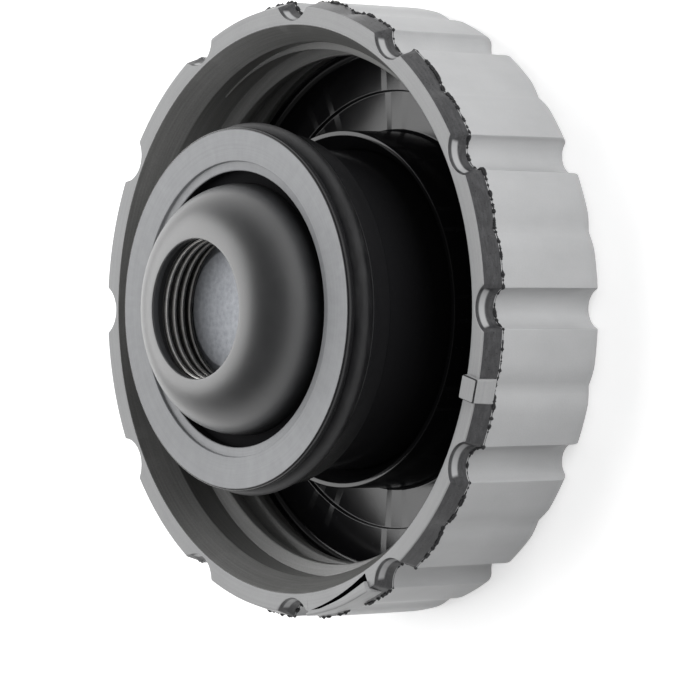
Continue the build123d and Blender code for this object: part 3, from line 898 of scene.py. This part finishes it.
# Springs: round wire along a helix
springs = {
    "mainSpring": {"coil": 12.6, "wire": 1.15, "low": 5.28, "high": 18.40, "turns": 4.0, "node": "main_spring",
                   "body": "insert", "joint": "pressure_lift", "anchor": 4.1, "keep": 0.871},
    "vacuumSpring": {"coil": 7.45, "wire": 0.30, "low": 23.28, "high": 27.47, "turns": 4.0, "node": "vacuum_spring",
                     "body": "poppet", "joint": "vacuum_lift", "anchor": 27.8, "keep": 0.689},
}
springMesh = {"sides": 14, "points": 56, "corner": 50.0}


def springTree():
    tree, inputs = startTree("coil spring", {"Coil": "Float", "Wire": "Float", "Low": "Float", "Rise": "Float",
                                             "Turns": "Float", "Sides": "Int", "Points": "Int", "Material": "Material"})
    root = inputs["Geometry"]
    helix = root.add("GeometryNodeCurveSpiral", None,
                     {"Resolution": inputs["Points"], "Rotations": inputs["Turns"], "Start Radius": inputs["Coil"],
                      "End Radius": inputs["Coil"], "Height": inputs["Rise"], "Reverse": True})
    section = root.add("GeometryNodeCurvePrimitiveCircle", {"mode": "RADIUS"},
                       {"Resolution": inputs["Sides"], "Radius": inputs["Wire"]})
    wire = root.add("GeometryNodeCurveToMesh", None, {"Curve": helix, "Profile Curve": section, "Fill Caps": True})
    lift = root.add("ShaderNodeCombineXYZ", None, {2: inputs["Low"]})
    shape = root.add("GeometryNodeSetPosition", None, {"Geometry": wire, "Offset": lift})
    endTree(tree, shape, inputs["Material"])
    return tree


coilSpring = springTree()
for name, part in springs.items():
    spring = runTree(newObject(name, bpy.data.meshes.new(name)), coilSpring, {
        "Coil": part["coil"] * mm, "Wire": part["wire"] * mm, "Low": part["low"] * mm, "Turns": part["turns"],
        "Rise": (part["high"] - part["low"]) * mm, "Sides": springMesh["sides"],
        "Points": springMesh["points"], "Material": springSteel})
    spring.data.shade_smooth()
    spring.data.set_sharp_from_angle(angle=math.radians(springMesh["corner"]))
    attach(spring, part["body"])
    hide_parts(part["node"])
    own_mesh(spring)
print("springs made")

# The pieces whose drawn shape stays get their finish
finishes = {"vacuum_plate": plateSteel, "vacuum_seal": sealRubber, "poppet_seal": washerRubber,
            "poppet_base": innerPlastic, "housing_cover": innerPlastic}
for node, material in finishes.items():
    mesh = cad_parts[node].data
    mesh.materials.clear()
    mesh.materials.append(material)


# Floor, light and camera
studio = {"floor": (0.90, 0.90, 0.90), "lift": 0.50, "world": 0.29, "low": 1.0, "high": 0.12, "band": (0.18, 0.55),
          "size": 3.0, "gap": 0.00002, "aim": (0.0, 0.0, 0.012)}
softboxes = {
    "backBox": {"direction": (0.10, 0.70, 0.70), "distance": 0.60, "width": 0.55, "height": 0.65, "glow": 2.9,
                "mirrored": True},
    "sideBox": {"direction": (0.50, -0.84, 0.20), "distance": 0.55, "width": 0.60, "height": 0.18, "glow": 7.0,
                "mirrored": False},
}


def makeFloor(part):
    material, root, millis = startMaterial("paleFloor")
    grain = noiseAt(millis, 0.02, 2.0, 0.5)
    seen = seenRays(root)
    colour = grain.tint(part["floor"], tuple(0.99 * value for value in part["floor"]))
    diffuse = root.add("ShaderNodeBsdfDiffuse", None, {"Color": colour})
    glow = root.add("ShaderNodeEmission", None, {"Strength": seen * part["lift"]})
    both = root.add("ShaderNodeAddShader", None, {0: diffuse, 1: glow})
    root.add("ShaderNodeOutputMaterial", None, {"Surface": both})
    bm = bmesh.new()
    bmesh.ops.create_circle(bm, cap_ends=True, segments=64, radius=part["size"])
    mesh = bpy.data.meshes.new("paleFloor")
    bm.to_mesh(mesh)
    bm.free()
    mesh.materials.append(material)
    floor = newObject("paleFloor", mesh)
    floor.location.z = -part["gap"]


def makeWorld(part):
    world = bpy.data.worlds.new("softRoom")
    scene.world = world
    world.use_nodes = True
    world.node_tree.nodes.clear()
    root = Wire(world.node_tree)
    seen = seenRays(root)
    # pale near the ground, dim overhead, as a room with a white table has it
    height = root.add("ShaderNodeTexCoord", None, None, "Generated").split()[2]
    shade = part["low"] + height.ramp(*part["band"]) * (part["high"] - part["low"])
    strength = part["world"] + seen * (shade - part["world"])
    light = root.add("ShaderNodeBackground", None, {"Color": (1.0, 1.0, 1.0, 1.0), "Strength": strength})
    root.add("ShaderNodeOutputWorld", None, {"Surface": light})


# a soft box that looks at the cap; its glow is the brightness of its face
def makeSoftbox(name, part, aim):
    lamp = bpy.data.lights.new(name, "AREA")
    lamp.shape = "RECTANGLE"
    lamp.size = part["width"]
    lamp.size_y = part["height"]
    lamp.energy = part["glow"] * math.pi * part["width"] * part["height"]
    box = bpy.data.objects.new(name, lamp)
    box.visible_glossy = part["mirrored"]
    away = Vector(part["direction"]).normalized()
    box.location = Vector(aim) + away * part["distance"]
    box.rotation_euler = away.to_track_quat("Z", "Y").to_euler()
    scene.collection.objects.link(box)


view = {"target": (0.0, 0.0, 0.0134), "tilt": 51.3, "distance": 1.1429, "lens": 565.7, "right": 0.00410, "up": -0.00423}


def makeCamera(part):
    lean = math.radians(part["tilt"])
    back = Vector((0.0, -math.sin(lean), math.cos(lean)))
    up = Vector((1.0, 0.0, 0.0))
    right = up.cross(back)
    data = bpy.data.cameras.new("photoCamera")
    data.lens = part["lens"]
    data.sensor_width = 36.0
    camera = bpy.data.objects.new("photoCamera", data)
    place = Vector(part["target"]) + back * part["distance"] + right * part["right"] + up * part["up"]
    camera.matrix_world = Matrix.Translation(place) @ Matrix((right, up, back)).transposed().to_4x4()
    scene.collection.objects.link(camera)
    scene.camera = camera


makeFloor(studio)
makeWorld(studio)
for name, part in softboxes.items():
    makeSoftbox(name, part, studio["aim"])
makeCamera(view)
print("floor, light and camera set")
